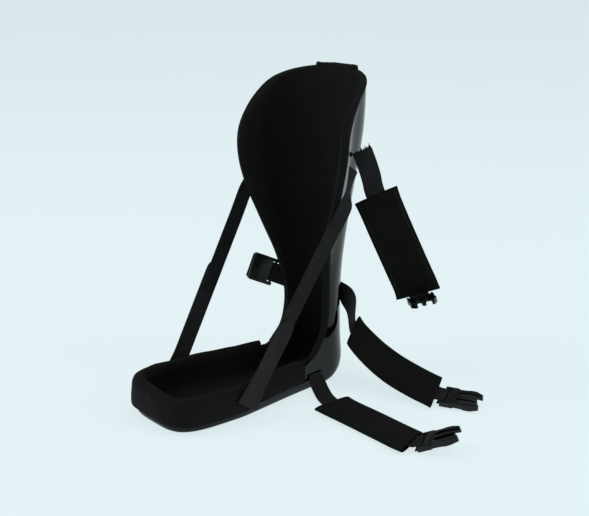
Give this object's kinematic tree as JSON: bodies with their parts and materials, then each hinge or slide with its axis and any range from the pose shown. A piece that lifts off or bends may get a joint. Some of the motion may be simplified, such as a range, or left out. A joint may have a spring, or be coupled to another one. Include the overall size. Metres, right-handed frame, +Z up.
{
  "type": "ankle night splint",
  "caption": "Tall black ankle splint: glossy plastic calf trough and foot tray in one L-shaped shell, foam liners, side tension straps, padded buckle straps.",
  "frame": {"origin": "on the floor, on the middle plane of the foot tray, 45 mm in front of the heel's rearmost point at the tray's rim", "axes": "+Z up along the calf trough, +Y towards the back of the heel (toes towards -Y), +X towards the side with the pronged buckle halves"},
  "size_m": [0.4036, 0.3544, 0.405],
  "materials": {
    "shell": "glossy moulded black plastic",
    "liner": "matte brushed loop fabric over foam",
    "webbing": "matte black woven webbing",
    "webbing_grey": "matte dark grey loop webbing",
    "pad": "matte black brushed fabric over thin foam",
    "buckle": "semi-gloss moulded black plastic"
  },
  "bodies": {
    "root": {"shell": "shell", "calf_liner": "liner", "foot_liner": "liner", "near_tension_strap_lower": "webbing_grey", "near_tension_strap_upper": "webbing", "far_tension_strap_lower": "webbing_grey", "far_tension_strap_upper": "webbing", "upper_strap_webbing": "webbing", "upper_strap_pad": "pad", "upper_buckle_prongs": "buckle", "upper_tab_webbing": "webbing", "upper_buckle_housing": "buckle", "middle_strap_webbing": "webbing", "middle_strap_pad": "pad", "middle_buckle_prongs": "buckle", "middle_tab_webbing": "webbing", "middle_buckle_housing": "buckle", "lower_strap_webbing": "webbing", "lower_strap_pad": "pad", "lower_buckle_prongs": "buckle", "lower_tab_webbing": "webbing", "lower_buckle_housing": "buckle"}
  },
  "joints": []
}
